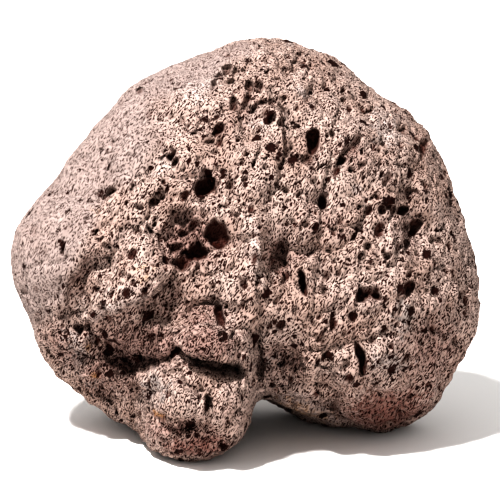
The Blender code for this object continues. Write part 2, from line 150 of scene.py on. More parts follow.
# Pits: across, up, half width, half height, turn, depth.
FRONT_PITS = [
    (-8.3, 13.0, 2.0, 2.6, -8, 4.6), (-8.5, 15.8, 1.1, 1.1, 0, 1.6), (-5.1, 2.4, 2.3, 2.5, 0, 3.8),
    (-9.6, -1.4, 2.6, 1.7, 8, 3.8), (-12.6, -3.6, 1.5, 1.9, -20, 2.6),
    (-13.2, 0.2, 1.9, 1.2, 30, 1.8), (13.7, 21.6, 1.4, 2.8, -6, 4.4),
    (13.0, 18.0, 1.1, 1.1, 0, 1.6), (12.4, -7.7, 0.9, 3.3, 20, 4.6), (23.9, -23.3, 1.0, 3.3, 18, 4.4),
    (23.5, -10.0, 1.3, 1.5, 0, 3.2), (26.9, -10.0, 1.1, 1.0, 0, 2.8), (25.2, -9.4, 2.6, 1.3, 6, 2.0),
    (34.4, -8.3, 1.2, 1.7, 0, 2.8), (-5.6, 24.1, 1.5, 1.2, 25, 2.6), (-7.5, 22.2, 1.2, 1.1, 30, 1.6),
    (-15.4, 19.2, 1.1, 1.2, -30, 2.2), (-14.3, 17.5, 0.9, 1.1, 0, 2.0),
    (-17.1, 19.0, 1.1, 0.7, 30, 1.2), (21.8, 20.3, 1.3, 2.8, -38, 1.6),
    (19.7, 17.3, 1.0, 1.3, -10, 2.8), (-4.3, -14.5, 1.1, 2.0, 0, 3.0), (16.5, 9.2, 0.9, 2.0, -4, 2.4),
    (37.2, 20.3, 1.0, 2.0, -4, 2.4), (28.8, 7.9, 1.1, 1.4, 0, 2.2), (31.4, 7.9, 0.9, 1.3, 0, 1.8),
    (34.4, 7.5, 1.5, 1.0, 0, 2.6), (36.5, 4.1, 1.0, 1.2, -30, 2.2), (34.2, 1.1, 1.0, 1.1, 0, 1.8),
    (-3.2, 13.5, 0.9, 1.2, 0, 1.8), (-5.6, 13.5, 0.7, 0.7, 0, 1.2), (-18.8, 9.8, 1.1, 0.9, 20, 1.8),
    (-17.1, 10.9, 0.9, 0.8, 30, 1.4), (-21.6, 32.3, 1.0, 1.1, 0, 1.6), (-25.2, 30.3, 0.7, 0.7, 0, 1.0),
    (-15.4, 34.4, 0.6, 0.6, 0, 0.8), (-27.8, 11.5, 1.2, 1.1, 0, 1.6), (-30.1, 20.5, 0.5, 0.5, 0, 0.7),
    (-23.1, 12.4, 0.5, 1.8, 5, 1.2), (-28.2, 16.9, 0.5, 1.1, -30, 1.0), (-32.7, 23.9, 0.6, 0.6, 0, 0.8),
    (-23.9, 28.0, 0.6, 0.6, 0, 0.8), (-27.6, 21.8, 0.6, 0.5, 0, 0.8), (-21.8, 8.5, 0.7, 0.7, 0, 1.2),
    (-20.9, 6.6, 0.7, 0.7, 0, 1.1), (-20.1, 3.8, 0.6, 1.8, 25, 1.6), (-14.5, 7.5, 1.1, 0.7, -20, 1.3),
    (-12.8, 7.5, 0.7, 0.6, 0, 1.0), (-5.6, 35.5, 0.8, 1.0, -30, 1.6), (-3.8, 36.8, 1.0, 0.9, -20, 1.6),
    (-6.2, 33.8, 0.8, 0.8, 0, 1.3), (-1.9, 36.5, 0.7, 0.7, 0, 1.1), (-0.4, 36.5, 0.7, 0.7, 0, 1.1),
    (-2.4, 34.6, 0.6, 0.6, 0, 0.9), (1.1, 33.3, 1.0, 1.2, -20, 1.8), (3.4, 33.6, 0.8, 0.9, 0, 1.3),
    (-2.4, 29.7, 0.9, 1.4, -20, 1.9), (0.4, 30.1, 0.7, 1.5, -35, 1.6), (2.1, 28.8, 0.7, 1.5, -35, 1.8),
    (3.8, 29.9, 1.1, 0.7, 0, 1.6), (5.8, 29.7, 0.8, 1.0, 0, 1.5), (5.3, 26.5, 0.6, 1.3, -40, 1.4),
    (7.3, 25.4, 0.9, 1.0, 0, 1.6), (6.6, 37.6, 0.7, 0.8, 0, 1.1), (8.1, 37.0, 0.7, 0.7, 0, 1.0),
    (-2.6, 41.7, 0.6, 0.6, 0, 0.9), (-1.5, 41.2, 0.5, 0.5, 0, 0.7), (-1.1, 6.2, 0.8, 0.8, 0, 1.4),
    (-4.3, 7.9, 0.7, 0.7, 0, 1.2), (0.0, 9.2, 0.6, 0.6, 0, 0.9), (17.7, 23.7, 0.9, 1.0, -20, 1.6),
    (18.2, 26.5, 0.7, 0.9, 0, 1.2), (21.8, 15.2, 0.7, 0.8, 0, 1.3), (24.1, 16.5, 0.5, 1.1, -35, 1.2),
    (9.0, 12.0, 0.7, 0.8, 0, 1.3), (14.3, 13.9, 0.7, 0.8, 0, 1.1), (12.2, 11.1, 0.6, 0.6, 0, 0.9),
    (4.1, 16.5, 0.6, 0.6, 0, 1.0), (4.3, 18.2, 0.5, 0.5, 0, 0.8), (20.5, 20.9, 0.5, 1.0, -30, 1.1),
    (33.1, 24.1, 0.7, 1.2, -10, 1.6), (40.4, 18.4, 0.6, 0.7, 0, 0.9), (29.5, 14.1, 0.6, 1.4, -20, 1.5),
    (31.8, 16.5, 0.9, 0.7, 30, 1.2), (35.3, 11.8, 0.7, 1.1, -20, 1.5), (33.3, 11.8, 0.6, 0.7, 0, 1.1),
    (35.0, 4.5, 0.6, 0.6, 0, 1.0), (31.8, -0.2, 0.7, 1.3, -30, 1.6), (29.7, -2.1, 0.9, 1.0, 0, 1.5),
    (25.6, 0.4, 0.7, 0.8, 0, 1.2), (43.2, 8.8, 0.9, 1.0, 0, 1.5), (20.3, 3.2, 0.6, 0.6, 0, 1.0),
    (16.0, -3.6, 0.6, 0.6, 0, 0.9), (10.0, 4.5, 0.6, 0.6, 0, 0.9), (13.0, 4.1, 0.6, 0.6, 0, 0.9),
    (38.7, -8.8, 0.6, 0.6, 0, 0.9), (37.8, -14.5, 0.5, 0.8, 0, 0.9), (34.0, -14.3, 0.6, 0.6, 0, 0.8),
    (16.7, -9.2, 0.7, 1.1, -10, 1.4), (22.7, -19.4, 0.6, 0.6, 0, 0.9), (20.5, -24.6, 0.7, 0.7, 0, 1.0),
    (18.6, -34.4, 0.9, 0.9, 0, 1.3), (15.0, -30.8, 0.8, 0.6, 0, 0.9), (-7.5, -31.8, 0.6, 1.2, 0, 1.6),
    (-28.6, -2.4, 0.8, 0.8, 0, 1.4), (-28.2, -0.2, 0.7, 0.7, 0, 1.2), (-46.8, 4.9, 0.5, 1.1, -20, 1.0),
    (-43.4, 3.8, 0.5, 1.1, -20, 0.9), (-45.3, 5.1, 0.5, 0.7, 0, 0.7), (-46.4, -9.8, 0.9, 0.9, 0, 1.3),
    (-44.0, -15.0, 0.6, 0.6, 0, 0.9), (-38.5, -15.0, 0.7, 0.7, 0, 1.2),
    (-32.5, -8.1, 0.5, 1.1, -40, 1.0), (-35.3, -17.3, 1.0, 1.1, 0, 1.8),
    (-27.8, -20.9, 1.1, 1.1, 0, 1.6), (-25.0, -23.3, 1.1, 0.8, 0, 1.6),
    (-22.9, -24.8, 1.0, 0.7, 0, 1.4), (41.9, -4.5, 0.7, 1.3, 0, 1.2), (46.4, -9.4, 0.9, 0.9, 0, 1.0),
    (40.0, 1.5, 0.7, 1.1, -20, 1.2), (11.8, 30.6, 0.7, 1.0, -20, 1.2), (14.5, 37.4, 0.6, 0.9, -20, 1.0),
    (25.9, 27.6, 0.7, 0.8, 0, 1.1), (28.0, 25.4, 0.6, 0.7, 0, 0.8), (23.5, 7.9, 0.6, 1.0, -30, 1.1),
    (27.1, 10.9, 0.5, 0.9, -30, 1.0), (18.2, -0.6, 0.7, 0.7, 0, 1.1), (14.3, -1.9, 0.9, 0.7, 20, 1.4),
    (9.2, -2.8, 0.7, 1.1, 0, 1.6), (7.7, 0.9, 0.8, 1.1, -10, 1.8), (11.8, 1.5, 0.7, 0.7, 0, 1.2),
    (-10.0, 4.5, 1.3, 0.9, 10, 2.0), (-12.2, 3.2, 1.1, 0.9, 0, 1.8), (-8.8, 0.6, 0.9, 1.1, 0, 2.0),
]
BACK_PITS = [
    (-14.0, 20.0, 2.2, 1.7, 30, 3.4), (9.0, -6.0, 1.6, 2.8, -20, 3.4), (24.0, 26.0, 1.6, 1.6, 0, 2.4),
    (-28.0, -8.0, 2.0, 1.5, 15, 2.6), (20.0, -24.0, 1.7, 2.2, 0, 2.8), (-6.0, 6.0, 1.5, 1.9, 40, 2.6),
]
SCATTERED_PITS = 60
SCATTERED_RADII = (1.1, 2.3)
SCATTERED_DEPTH = 1.2
# Pits that chance puts further forward than this, on a ball of radius 1, go to the back instead.
MOST_FORWARD = 0.35

# Lumps and hollows all round: across, up, out, half size, and how far they stand out.
BODY_LUMPS = [
    (17.0, -33.0, -20.0, 8.0, 2.6), (-12.0, -32.0, -20.0, 8.0, 5.2), (2.0, -36.0, -6.0, 7.0, -3.0),
    (-14.0, -38.0, -2.0, 6.0, -3.0), (44.0, 10.0, -6.0, 6.0, -1.6), (-30.0, 34.0, -8.0, 7.0, -1.8),
    (10.0, 42.0, -14.0, 7.0, -1.8), (-46.0, -14.0, -12.0, 7.0, -2.0), (40.0, -26.0, -16.0, 7.0, -2.0),
]

# Uneven ground: size of its swells and how far they move the surface. Creases between the swells:
# their size and depth. The rim goes without most of both.
UNEVEN = [(24.0, 1.6), (11.0, 1.0), (5.0, 0.7)]
CREASES = [(8.0, 1.2), (4.0, 0.8)]
CREASE_HALF_WIDTH = 0.35
RIM_KEPT = 0.8
# The drawn lines and ovals wander from their shapes: size of the bends and how far they reach.
WANDER = [(7.0, 0.9), (2.6, 0.5), (1.3, 0.3)]
# A rounded form is a bell: its height times e to the power of minus this times the distance
# squared, which leaves half of it at its edge.
HALF_AT_EDGE = 0.7
# Forms along a line fade out over one part in this many at each end.
END_PARTS = 5
# Cubes along each side of a noise's table of chance numbers, before it comes round again.
NOISE_CUBES = 16


def smooth_step(value):
    """0 below 0, 1 above 1, and an S-curve between."""
    part = np.clip(value, 0, 1)
    return part * part * (3 - 2 * part)


def around_rim(angle, column):
    """A column of RIM at each angle: cubic pieces whose slope is the chord of the neighbours."""
    at = np.concatenate([RIM[-2:, 0] - 360, RIM[:, 0], RIM[:3, 0] + 360])
    value = np.concatenate([RIM[-2:, column], RIM[:, column], RIM[:3, column]])
    slope = np.zeros(len(at))
    slope[1:-1] = (value[2:] - value[:-2]) / (at[2:] - at[:-2])
    low = np.searchsorted(at, angle, side="right") - 1
    gap = at[low + 1] - at[low]
    t = (angle - at[low]) / gap
    rise = value[low + 1] - value[low]
    start = slope[low] * gap - rise
    end = rise - slope[low + 1] * gap
    return value[low] + t * rise + t * (1 - t) * ((1 - t) * start + t * end)


def body_form(way):
    """Smooth lump without relief, from unit directions.

    A point's reach from the middle is the rim's radius times the sine of its angle to the front
    axis, raised to SHOULDER. Its place out is the depth times the cosine of that angle, and the
    rim's own place out near the rim. Towards the axis the radius gives way to its mean.
    """
    angle = np.degrees(np.arctan2(way[:, 1], way[:, 0])) % 360
    spread = np.hypot(way[:, 0], way[:, 1])
    plain = RIM[:, 1].mean()
    radius = plain + (around_rim(angle, 1) - plain) * spread
    reach = radius * spread ** SHOULDER
    depth = np.where(way[:, 2] > 0, FRONT_DEPTH, BACK_DEPTH)
    out = depth * way[:, 2] + around_rim(angle, 2) * spread ** 4
    turn = np.radians(angle)
    return np.column_stack([reach * np.cos(turn), reach * np.sin(turn), out])


def oval_distance(place, across, up, half_width, half_height, turn):
    """Distance from an oval's middle, 1 on its edge."""
    cos, sin = np.cos(np.radians(turn)), np.sin(np.radians(turn))
    right = place[:, 0] - across
    rise = place[:, 1] - up
    return np.hypot((right * cos + rise * sin) / half_width,
                    (rise * cos - right * sin) / half_height)


def line_distance(place, line):
    """Distance to a line of points, above 0 on its left-hand side, and how far along it."""
    best = np.full(len(place), 1e9)
    side = np.ones(len(place))
    along = np.zeros(len(place))
    for number, (start, end) in enumerate(zip(line[:-1], line[1:])):
        start, run = np.array(start), np.subtract(end, start)
        offset = place[:, :2] - start
        part = np.clip(offset @ run / (run @ run), 0, 1)
        away = offset - part[:, None] * run
        distance = np.hypot(away[:, 0], away[:, 1])
        nearer = distance < best
        cross = run[0] * offset[:, 1] - run[1] * offset[:, 0]
        side = np.where(nearer, np.sign(cross), side)
        along = np.where(nearer, (number + part) / (len(line) - 1), along)
        best = np.minimum(best, distance)
    return best * side, along


def ends_fade(along):
    """0 at both ends of a line and 1 along its middle."""
    return smooth_step(along * END_PARTS) * smooth_step((1 - along) * END_PARTS)


def face_form(place, lumps, ledges, clefts):
    """Height of one face's lumps, ledges and clefts over the smooth lump."""
    height = np.zeros(len(place))
    for across, up, half_width, half_height, turn, rise in lumps:
        away = oval_distance(place, across, up, half_width, half_height, turn)
        height += rise * np.exp(-HALF_AT_EDGE * away ** 2)
    for line, lip, lip_run, drop, drop_run, edge in ledges:
        away, along = line_distance(place, line)
        upper = lip * np.exp(-np.abs(away) / lip_run)
        lower = -drop * np.exp(-(away / drop_run) ** 2)
        above = smooth_step(0.5 + away / edge)
        height += (lower + (upper - lower) * above) * ends_fade(along)
    for line, half_width, depth in clefts:
        away, along = line_distance(place, line)
        height -= depth * np.exp(-(away / half_width) ** 2) * ends_fade(along)
    return height


def face_pits(place, pits):
    """How far one face's pits sink: each is half an egg, steep at its rim."""
    sink = np.zeros(len(place))
    for across, up, half_width, half_height, turn, depth in pits:
        away = oval_distance(place, across, up, half_width, half_height, turn)
        sink = np.maximum(sink, depth * np.sqrt(np.clip(1 - away ** 2, 0, 1)))
    return sink


def scattered_pits(body):
    """How far the scattered pits sink each point: round hollows, none on the front face."""
    chance = np.random.default_rng(3)
    middles = chance.normal(size=(SCATTERED_PITS, 3))
    middles /= np.linalg.norm(middles, axis=1)[:, None]
    middles[:, 2] = np.where(middles[:, 2] > MOST_FORWARD, -middles[:, 2], middles[:, 2])
    smallest, largest = SCATTERED_RADII
    radii = smallest + (largest - smallest) * chance.random(SCATTERED_PITS) ** 2
    sink = np.zeros(len(body))
    for middle, radius in zip(body_form(middles), radii):
        away = np.linalg.norm(body - middle, axis=1) / radius
        sink += SCATTERED_DEPTH * radius * np.sqrt(np.clip(1 - away ** 2, 0, 1))
    return sink


def uneven(place, size, seed):
    """Smooth noise from -1 to 1: values at the corners of cubes of this size, blended between."""
    table = np.random.default_rng(seed).uniform(-1, 1, (NOISE_CUBES,) * 3)
    scaled = place / size + 100
    corner = np.floor(scaled).astype(int)
    part = smooth_step(scaled - corner)
    total = np.zeros(len(place))
    for step in np.ndindex(2, 2, 2):
        at = (corner + step) % NOISE_CUBES
        share = np.prod(np.where(step, part, 1 - part), axis=1)
        total += share * table[at[:, 0], at[:, 1], at[:, 2]]
    return total


def stand_up(place):
    """Leaning frame to the stone's own frame, in metres: across, back and up, cut at the floor."""
    lean = np.radians(LEAN)
    across, up, out = place.T
    behind = up * np.sin(lean) - out * np.cos(lean)
    level = up * np.cos(lean) + out * np.sin(lean)
    return MM * np.column_stack([across - CENTRE_ACROSS, behind - CENTRE_BEHIND,
                                 np.maximum(level - REST_LEVEL, 0)])


# ---------------------------------------------------------------- the skin's mesh
# The skin is one closed surface: six square grids, blown up from a cube's sides to a ball, meet
# along their edges. Its points crowd towards the broad face, where the finest pits are.

# Steps along a cube's side, how much the points crowd forward (1 for not at all), triangles left
# on each half, and how far out the face's half starts.
GRID = 256
CROWDING = 0.75
FRONT_TRIANGLES = 140000
BACK_TRIANGLES = 56000
FACE_FROM = -6.0


def ball_grid(steps):
    """Unit directions and four-sided faces of a cube's six sides blown up to a ball.

    On each side, the tangents of two even angles from -45 to 45 degrees give a point of the
    cube, which is pushed out to the ball. Points that sides share are kept once.
    """
    near, far = np.meshgrid(np.arange(steps), np.arange(steps), indexing="ij")
    corners = []
    for axis in range(3):
        for end in (0, steps):
            square = []
            for first, second in ((0, 0), (1, 0), (1, 1), (0, 1)):
                at = np.empty((steps, steps, 3), int)
                at[..., axis] = end
                at[..., (axis + 1) % 3] = near + first
                at[..., (axis + 2) % 3] = far + second
                square.append(at.reshape(-1, 3))
            if end == 0:
                square.reverse()
            corners.append(np.stack(square, axis=1))
    corners = np.concatenate(corners).reshape(-1, 3)
    key = (corners[:, 0] * (steps + 1) + corners[:, 1]) * (steps + 1) + corners[:, 2]
    _, first, number = np.unique(key, return_index=True, return_inverse=True)
    way = np.tan(np.radians(90.0 * corners[first] / steps - 45.0))
    way /= np.linalg.norm(way, axis=1)[:, None]
    faces = number.reshape(-1, 4)
    return way, faces


def crowd_forward(way):
    """Moves directions to the front: the tangent of half their angle to it times CROWDING."""
    low = np.maximum(1 + way[:, 2], 1e-9)
    flat = CROWDING * way[:, :2] / low[:, None]
    square = (flat ** 2).sum(axis=1)
    return np.column_stack([2 * flat, 1 - square]) / (1 + square)[:, None]


def outward_normals(place, faces):
    """Unit normals at the points: the sum of the crossed diagonals of the faces round each."""
    across = place[faces[:, 2]] - place[faces[:, 0]]
    along = place[faces[:, 3]] - place[faces[:, 1]]
    crossed = np.cross(across, along)
    total = np.column_stack([
        np.bincount(faces.ravel(), np.repeat(crossed[:, axis], 4), len(place))
        for axis in range(3)])
    return total / np.linalg.norm(total, axis=1)[:, None]


# ---------------------------------------------------------------- vesicles
# Pumice froze while it was full of gas bubbles. Its worn skin cuts through them and leaves
# hollows with sharp rims, drawn out along the way the lava flowed. The upper left is worn smooth.

# Tinted places on the face: across, up, half width, half height, turn and share. In the bare
# places the dusty crust has broken away and rougher brown stone shows, with open pores; their brown
# is also painted shade where they lie on slopes facing down, in hollows and recesses and under the
# knob. In the rusty places the stone is redder, and under the lobes darker too, as painted shade;
# in the grey ones it is less pink.
BARE_AND_SHADE = [
    # Many of these lie on slopes facing down, in hollows, in the recess beside the knob and under it: their
    # brown is painted shade as well as bare stone.
    (-20.0, -19.5, 9.0, 4.0, -8, 0.9), (-11.0, 1.0, 6.5, 5.5, -20, 0.9), (-33.0, -6.0, 2.2, 6.0, -28, 0.5),
    (-8.0, -15.0, 6.0, 4.0, 0, 0.6), (-11.0, -42.0, 9.0, 4.0, 0, 0.8), (8.0, -25.0, 5.5, 5.0, 30, 0.6),
    (6.8, -1.0, 3.4, 4.0, 0, 0.6), (12.6, -1.8, 4.0, 1.6, 0, 0.5), (-29.0, -26.0, 8.0, 5.5, -30, 0.7),
    (-38.0, -21.5, 5.5, 4.5, -40, 0.7), (-5.6, 24.0, 3.4, 2.4, 25, 0.5), (13.6, 21.0, 2.4, 4.0, 0, 0.5),
    (22.0, 18.5, 4.0, 3.4, -30, 0.5), (-8.0, 13.6, 4.0, 3.6, 0, 0.5), (0.5, 31.0, 7.0, 4.4, 30, 0.4),
    (34.0, 3.0, 4.0, 5.0, 0, 0.4), (39.5, -22.5, 8.0, 9.5, 0, 0.6), (-20.0, -8.6, 3.0, 1.6, 30, 0.3),
    (24.6, -10.0, 3.6, 2.4, 0, 0.4), (-16.0, 10.0, 3.0, 2.0, 20, 0.3), (-8.0, -19.5, 5.6, 3.4, 0, 0.9),
    (-14.0, -38.5, 8.0, 1.6, 0, 0.8), (15.0, 4.7, 6.5, 6.0, 0, 0.4), (25.0, -26.0, 5.0, 4.0, 0, 0.35),
    (-3.0, -34.5, 3.2, 5.0, 0, 0.45), (-25.0, -22.8, 4.4, 3.6, 0, 0.9),
]
RUSTY_AND_SHADE = [
    # The first two, under the right lobe and under the knob, are painted shade as well as iron stain.
    (31.0, -36.0, 12.0, 6.0, 0, 0.9), (-11.0, -43.0, 9.0, 3.6, 0, 0.7), (-31.6, -27.6, 1.4, 1.0, 0, 0.7),
    (-18.5, -36.0, 2.2, 0.9, -20, 0.9), (7.0, -2.0, 3.0, 4.0, 0, 0.5), (-9.0, -13.0, 5.0, 3.0, 0, 0.2),
    (22.0, -17.0, 5.0, 4.0, 0, 0.3),
]
GREY = [
    (32.5, -14.0, 3.4, 5.0, 0, 0.7), (30.5, -24.0, 4.4, 2.6, 0, 0.8), (-35.5, -21.0, 3.4, 4.6, 0, 0.7),
    (-24.5, -38.0, 3.0, 2.2, -30, 0.6), (29.0, 24.0, 5.0, 3.4, -40, 0.6),
    (-33.0, -29.0, 4.0, 2.0, -30, 0.5), (6.0, -24.0, 3.0, 3.0, 0, 0.5), (-18.0, -29.0, 3.6, 4.4, 0, 0.8),
]
# Pale dusty patches and single pale grains, and patches and spots of yellow ochre. The pale patch
# on the lobe behind the arch is painted light on stone that lies in shade.
DUSTY_AND_LIT = [
    (-17.1, 16.9, 4.0, 2.4, 30, 0.7), (-9.6, 32.5, 5.0, 2.6, 30, 0.8), (2.1, 26.0, 3.4, 2.4, 0, 0.7),
    (28.8, 25.0, 4.4, 2.6, -40, 0.8), (-26.0, -12.6, 8.0, 1.6, 24, 0.8), (1.8, -1.0, 2.2, 11.0, 4, 0.75),
    (27.8, -23.0, 2.4, 1.8, 0, 0.8), (11.3, 31.6, 0.8, 0.8, 0, 1.4), (23.5, 11.8, 1.0, 1.0, 0, 1.4),
    (-40.0, 6.0, 6.0, 5.0, 30, 0.4), (9.4, -30.6, 5.0, 0.7, 0, 0.9), (9.2, 43.0, 1.6, 0.8, 0, 1.0),
    (3.0, 38.5, 9.0, 4.0, 8, 0.5),
    # The last patch here, on the lobe behind the arch, is painted light.
    (-25.0, -9.0, 7.0, 2.6, 15, 0.6), (-34.5, -13.0, 2.8, 4.5, 0, 0.6), (12.0, -36.0, 10.0, 4.0, -22, 0.9),
]
OCHRE = [
    (-18.6, -35.7, 1.7, 0.9, -20, 0.85), (-31.8, -27.6, 1.0, 0.9, 0, 0.8), (-33.1, -20.9, 0.8, 1.3, 0, 0.7),
    (-20.3, -4.9, 4.0, 2.0, 20, 0.45), (-31.0, 7.3, 2.4, 1.6, 0, 0.45), (12.0, -36.0, 10.0, 4.0, -22, 0.6),
]
# Smooth skin of the lobe behind the arch.
SMOOTH = [(12.0, -35.5, 10.0, 4.0, -22, 1.0)]

FLOW = np.array([0.46, 0.84, 0.28]) / np.linalg.norm([0.46, 0.84, 0.28])
FLOW_STRETCH = 1.6
# Bubbles: spacing, smallest and largest radius, share of places that hold one.
BUBBLES = [(5.2, 0.8, 1.5, 0.30), (2.6, 0.45, 0.95, 0.75), (1.4, 0.3, 0.6, 0.95)]
# Walls between packed bubbles: spacing and height. Crumbs and chips: size and height.
WALLS = [(1.7, 0.25), (1.0, 0.25)]
GRAIN = [(3.2, 0.4), (1.6, 0.18)]
# Crumbly knots, most where the stone is bare: spacing and height.
KNOTS = [(4.2, 1.0), (2.2, 0.6)]
# Cubes along each side of the tables that bubbles come from, before they come round again.
BUBBLE_CUBES = 24
# The worn side: its direction across and up, where it starts and how far it takes to be whole.
WORN_WAY = (-0.72, 0.5)
WORN_FROM = 14
WORN_OVER = 16
# How far the worn side's edge wanders, and the size of its bends.
WORN_WANDER = 6
WORN_BENDS = 9.0
# The forms of the face and of the back both fade out a little behind the rim, over this much of a
# unit direction's part out of the face.
FADE_BEHIND = 0.05
FADE_OVER = 0.45
# Hollows of the face take the bare colour too, as painted shade: the most share, the height where
# it starts, and how much deeper it is whole.
HOLLOW_SHADE = 0.5
HOLLOW_FROM = -0.5
HOLLOW_OVER = 3
# Wear takes this share of the bubbles and of the grain, and bare ground has more grain.
WORN_BUBBLES = 0.6
WORN_GRAIN = 0.55
BARE_GRAIN = 0.6
# Share of the knots that is everywhere, what bare ground adds and what wear takes.
KNOTS_ALL_OVER = 0.6
BARE_KNOTS = 0.9
WORN_KNOTS = 0.5
# About the mean height of the walls, taken off so that they don't swell the stone.
MEAN_WALL = 0.4
# Depths, in millimetres, at which a bubble and a pit are as dark as they get. Their dark colour
# is painted shade over the red-brown glass of their walls.
DARK_BUBBLE = 0.9
DARK_PIT = 2.4


def bubble_hollows(place, outward, spacing, smallest, largest, share, seed):
    """Depth of the hollows that cut-open bubbles leave.

    There is at most one bubble in each cube of the spacing. A point inside a bubble sinks along
    its normal to the bubble's far wall, at the depth where that line leaves the sphere.
    """
    chance = np.random.default_rng(seed)
    middles = chance.random((BUBBLE_CUBES, BUBBLE_CUBES, BUBBLE_CUBES, 3))
    radii = smallest + (largest - smallest) * chance.random((BUBBLE_CUBES,) * 3) ** 1.5
    radii[chance.random((BUBBLE_CUBES,) * 3) > share] = 0
    corner = np.floor(place / spacing).astype(int)
    sink = np.zeros(len(place))
    for step in np.ndindex(3, 3, 3):
        cell = corner + np.array(step) - 1
        at = cell % BUBBLE_CUBES
        pick = (at[:, 0], at[:, 1], at[:, 2])
        offset = place - (cell + middles[pick]) * spacing
        level = np.einsum("ij,ij->i", offset, outward)
        inside = radii[pick] ** 2 - np.einsum("ij,ij->i", offset, offset)
        reach = level + np.sqrt(np.maximum(inside + level ** 2, 0))
        sink = np.maximum(sink, np.where(inside > 0, reach, 0))
    return sink


def bubble_walls(place, spacing, seed):
    """Height of the walls between packed bubbles: 0 at their middles, up to about 1 on the walls.

    It is the square of the distance to the nearest of one chance point in each cube.
    """
    chance = np.random.default_rng(seed)
    middles = chance.random((BUBBLE_CUBES, BUBBLE_CUBES, BUBBLE_CUBES, 3))
    scaled = place / spacing
    corner = np.floor(scaled).astype(int)
    nearest = np.full(len(place), 9.0)
    for step in np.ndindex(3, 3, 3):
        cell = corner + np.array(step) - 1
        at = cell % BUBBLE_CUBES
        offset = scaled - cell - middles[at[:, 0], at[:, 1], at[:, 2]]
        nearest = np.minimum(nearest, np.einsum("ij,ij->i", offset, offset))
    return nearest


def worn_share(body):
    """1 where the skin is worn smooth, on the upper left, and 0 where it is fresh."""
    left = WORN_WAY[0] * body[:, 0] + WORN_WAY[1] * body[:, 1]
    left += WORN_WANDER * uneven(body, WORN_BENDS, 31)
    return smooth_step((left - WORN_FROM) / WORN_OVER)


def stretched(place):
    """Places squeezed along the flow, so that round bubbles there are long ones here."""
    return place + (1 / FLOW_STRETCH - 1) * (place @ FLOW)[:, None] * FLOW


def oval_share(place, ovals):
    """The largest share at each point: an oval's own share in its middle, fading out smoothly."""
    share = np.zeros(len(place))
    for across, up, half_width, half_height, turn, most in ovals:
        away = oval_distance(place, across, up, half_width, half_height, turn)
        share = np.maximum(share, most * np.exp(-HALF_AT_EDGE * away ** 2))
    return share


def stone_skin():
    """Points and faces of the finished skin, and the shares that its material goes by."""
    way, faces = ball_grid(GRID)
    way = crowd_forward(way)
    body = body_form(way)
    outward = np.zeros(len(body))
    for across, up, out, half_size, rise in BODY_LUMPS:
        away = np.linalg.norm(body - (across, up, out), axis=1) / half_size
        outward += rise * np.exp(-HALF_AT_EDGE * away ** 2)
    inside = 1 - RIM_KEPT * np.hypot(way[:, 0], way[:, 1]) ** 6
    for seed, (size, height) in enumerate(UNEVEN):
        outward += height * inside * uneven(body, size, seed)
    for seed, (size, depth) in enumerate(CREASES):
        folds = 1 - np.abs(uneven(stretched(body), size, 70 + seed)) / CREASE_HALF_WIDTH
        outward -= depth * inside * np.clip(folds, 0, 1) ** 2
    wandering = body.copy()
    for seed, (size, shift) in enumerate(WANDER):
        wandering[:, 0] += shift * uneven(body, size, 10 + seed)
        wandering[:, 1] += shift * uneven(body, size, 20 + seed)
    front = smooth_step((way[:, 2] + FADE_BEHIND) / FADE_OVER)
    back = smooth_step((-way[:, 2] - FADE_BEHIND) / FADE_OVER)
    place = body + outward[:, None] * way
    face_height = front * face_form(wandering, FRONT_LUMPS, FRONT_LEDGES, FRONT_CLEFTS)
    place[:, 2] += face_height
    place[:, 2] -= back * face_form(wandering, BACK_LUMPS, BACK_LEDGES, BACK_CLEFTS)
    normal = outward_normals(place, faces)
    bare_and_shade = front * oval_share(wandering, BARE_AND_SHADE)
    smooth = front * oval_share(wandering, SMOOTH)
    # Painted shade: the lower the face lies, the more of the bare colour it takes.
    low = HOLLOW_SHADE * smooth_step((HOLLOW_FROM - face_height) / HOLLOW_OVER)
    bare_and_shade = np.maximum(bare_and_shade, low) * (1 - smooth)
    worn = np.maximum(worn_share(body) * (1 - bare_and_shade), smooth)
    sink = np.zeros(len(place))
    squeezed = stretched(place)
    for seed, (spacing, smallest, largest, share) in enumerate(BUBBLES):
        hollow = bubble_hollows(squeezed, normal, spacing, smallest, largest, share, 40 + seed)
        sink = np.maximum(sink, hollow)
    sink *= 1 - WORN_BUBBLES * worn
    grain = np.zeros(len(place))
    for seed, (size, height) in enumerate(GRAIN):
        grain += height * uneven(place, size, 50 + seed)
    for seed, (spacing, height) in enumerate(WALLS):
        grain += height * (bubble_walls(squeezed, spacing, 60 + seed) - MEAN_WALL)
    grain *= 1 - WORN_GRAIN * worn + BARE_GRAIN * bare_and_shade
    for seed, (spacing, height) in enumerate(KNOTS):
        knots = MEAN_WALL - bubble_walls(squeezed, spacing, 80 + seed)
        grain += height * (KNOTS_ALL_OVER + BARE_KNOTS * bare_and_shade - WORN_KNOTS * worn) * knots
    pits = front * face_pits(wandering, FRONT_PITS)
    back_pits = back * face_pits(wandering, BACK_PITS) + scattered_pits(body)
    place += (grain - sink)[:, None] * normal
    place[:, 2] -= pits
    place -= back_pits[:, None] * np.where(back[:, None] > 0.5, normal, way)
    # How deep bubbles and pits sink, which the colour darkens as painted shade.
    depth = np.maximum(sink / DARK_BUBBLE, (pits + back_pits) / DARK_PIT)
    shares = {"hollow": np.clip(depth, 0, 1), "worn": worn, "bare_and_shade": bare_and_shade,
              "rust_and_shade": front * oval_share(wandering, RUSTY_AND_SHADE),
              "grey": front * oval_share(wandering, GREY),
              "dust_and_light": front * oval_share(wandering, DUSTY_AND_LIT),
              "ochre": front * oval_share(wandering, OCHRE)}
    return place, faces, shares


